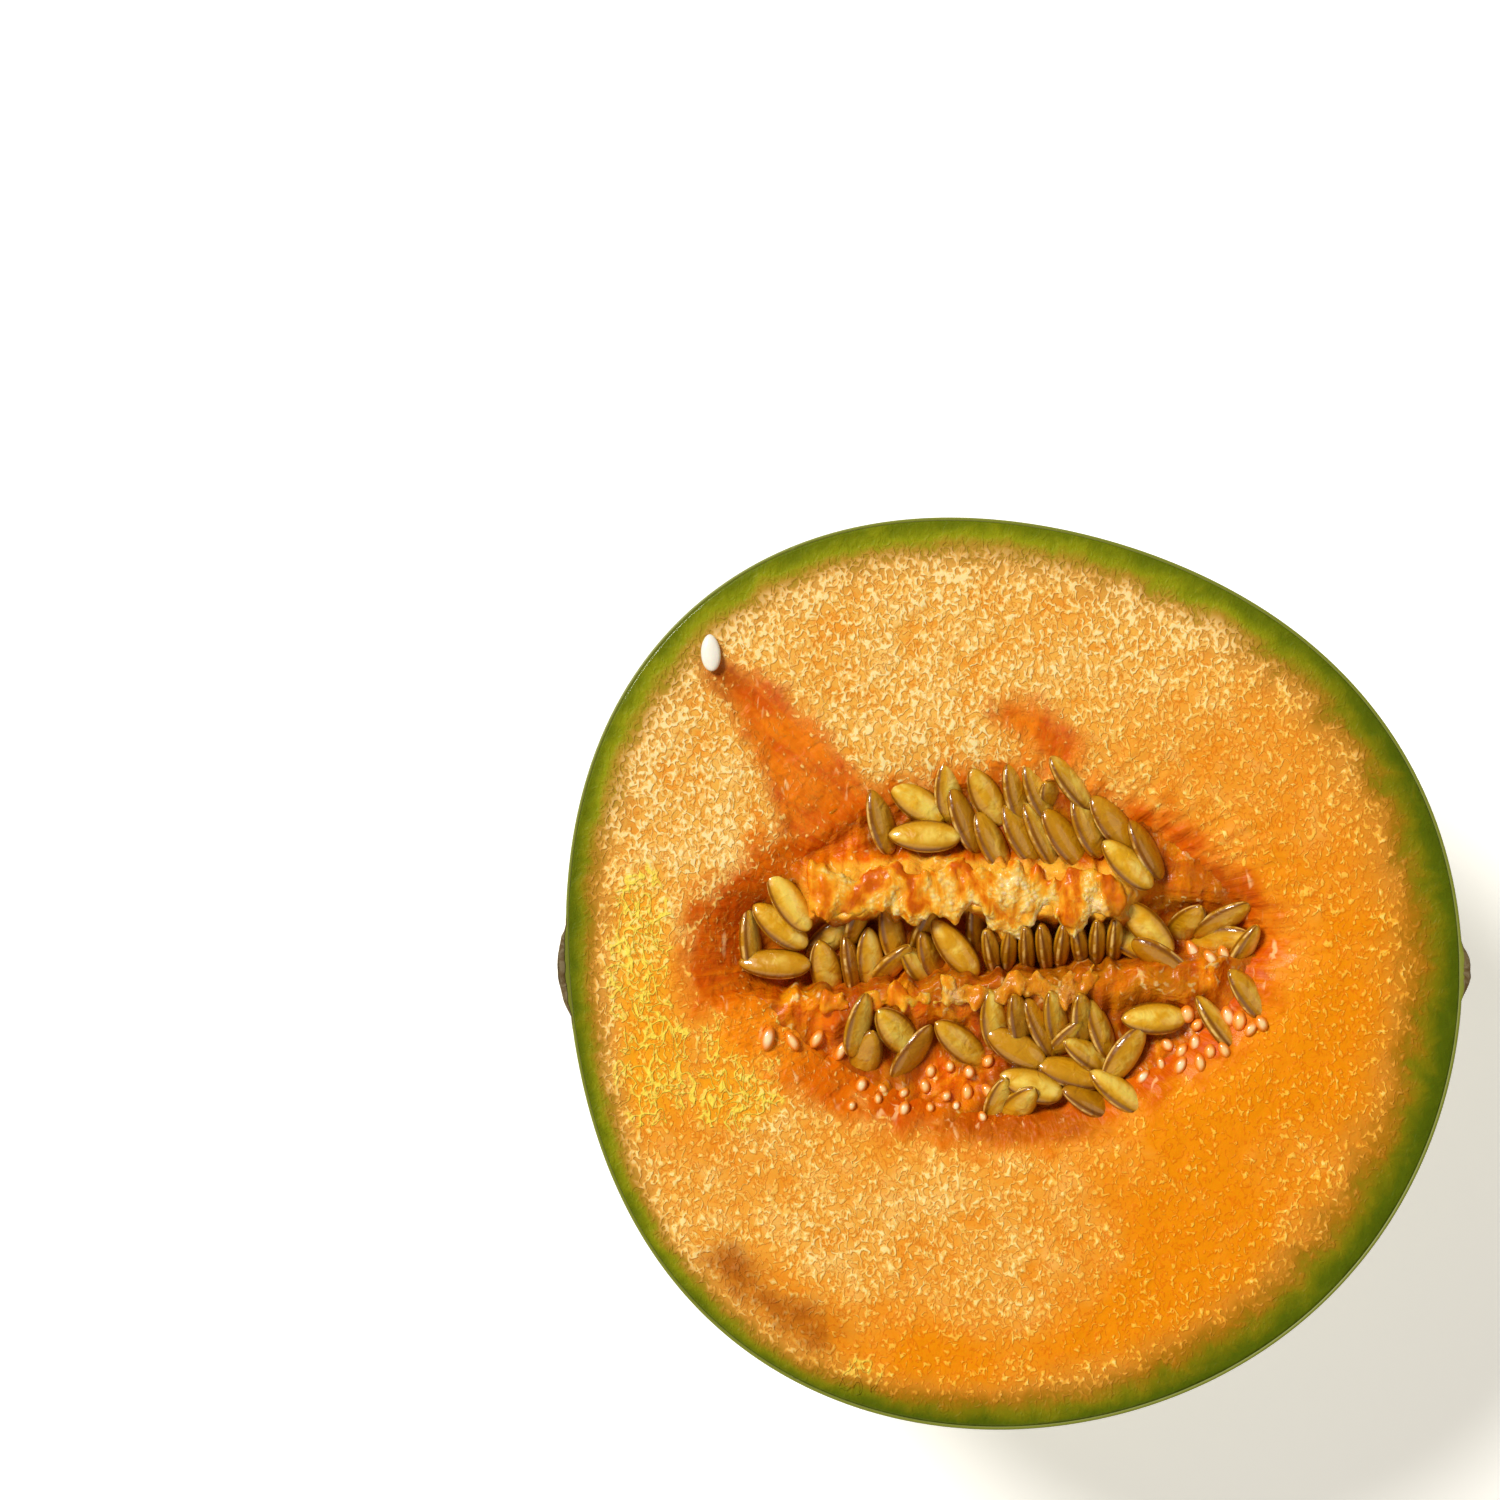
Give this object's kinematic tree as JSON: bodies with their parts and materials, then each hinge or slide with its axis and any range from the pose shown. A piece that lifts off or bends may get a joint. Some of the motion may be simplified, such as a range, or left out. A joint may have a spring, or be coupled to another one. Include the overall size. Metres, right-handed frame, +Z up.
{
  "type": "melon half",
  "caption": "Round melon cut in half, lying on its rind: granular orange flesh, thin grey-green rind, and a narrow seed cavity with rows of olive-gold seeds in wet pulp.",
  "frame": {"origin": "middle of the small flat spot on the rind that the half rests on", "axes": "+Z up, square to the cut face, +X along the cut face towards the stem end, -X towards the corky blossom scar"},
  "size_m": [0.1552, 0.1551, 0.076],
  "materials": {
    "flesh": "moist, granular orange flesh",
    "rind": "thin waxy grey-green skin, satin, with faint streaks and corky marks",
    "pulp": "wet, stringy orange placenta with pale crumbly ridges",
    "seeds": "wet, smooth olive-gold seeds in a clear film"
  },
  "bodies": {
    "root": {"melon_flesh": "flesh", "seed_pulp": "pulp"}
  },
  "joints": []
}
